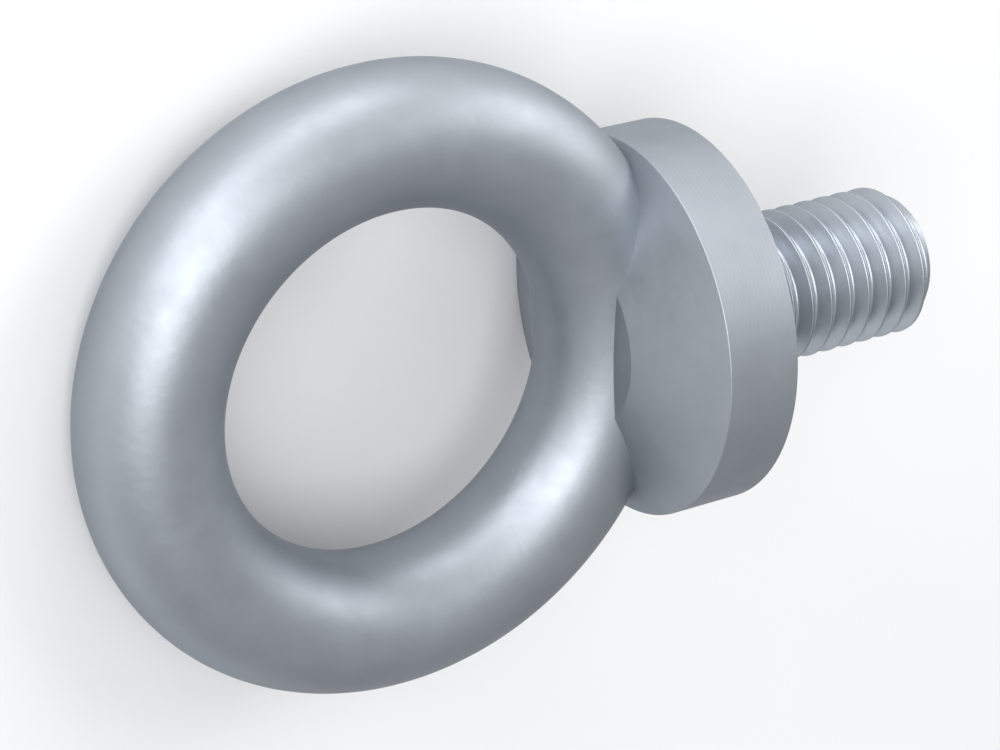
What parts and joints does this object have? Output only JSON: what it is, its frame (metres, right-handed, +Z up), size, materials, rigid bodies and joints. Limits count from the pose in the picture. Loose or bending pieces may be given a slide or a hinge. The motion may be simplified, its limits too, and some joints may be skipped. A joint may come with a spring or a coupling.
{
  "type": "lifting eye bolt",
  "caption": "Forged lifting eye bolt: a ring of round section on a cone and round collar, with an M10 threaded shank.",
  "frame": {"origin": "on the floor, below the middle of the outline of the bolt as it lies at rest", "axes": "+Z up from the floor, +X along the bolt's length from the ring to the thread's tip, +Y across the ring. The bolt's own axis slopes up by 13.4 degrees from +X towards +Z, because the bolt lies on the far side of its ring and on its collar's rim"},
  "size_m": [0.059, 0.041, 0.0254],
  "materials": {
    "zinc_plated_steel": "smooth satin zinc plating with a slightly blue grey tone"
  },
  "bodies": {
    "root": {"eye_bolt": "zinc_plated_steel"}
  },
  "joints": []
}
